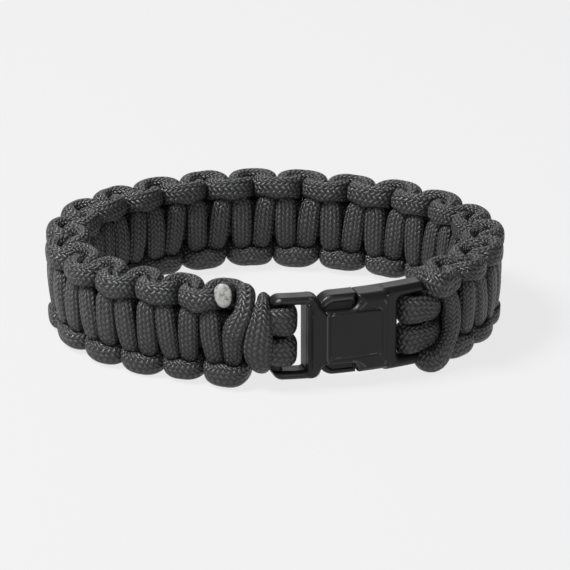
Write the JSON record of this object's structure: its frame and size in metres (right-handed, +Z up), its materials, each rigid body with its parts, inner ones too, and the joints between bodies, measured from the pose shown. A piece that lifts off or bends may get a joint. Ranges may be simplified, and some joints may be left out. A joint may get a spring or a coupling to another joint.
{
  "type": "paracord bracelet",
  "caption": "Woven paracord bracelet in a cobra weave, closed into a loop by a curved side-release buckle and standing on its edge.",
  "frame": {"origin": "middle of the loop's length and depth, at the lower edge that it stands on", "axes": "+Z up across the band's width, +X along the loop's longer side, -Y towards the side with the buckle, which sits right of its middle"},
  "size_m": [0.0931, 0.075, 0.0204],
  "materials": {
    "cord": "braided nylon, charcoal black with small pale yarn highlights",
    "buckle": "moulded acetal, satin black"
  },
  "bodies": {
    "root": {"core_cord": "cord", "outer_weave_cord": "cord", "inner_weave_cord": "cord", "buckle_prong": "buckle", "buckle_socket": "buckle"}
  },
  "joints": []
}
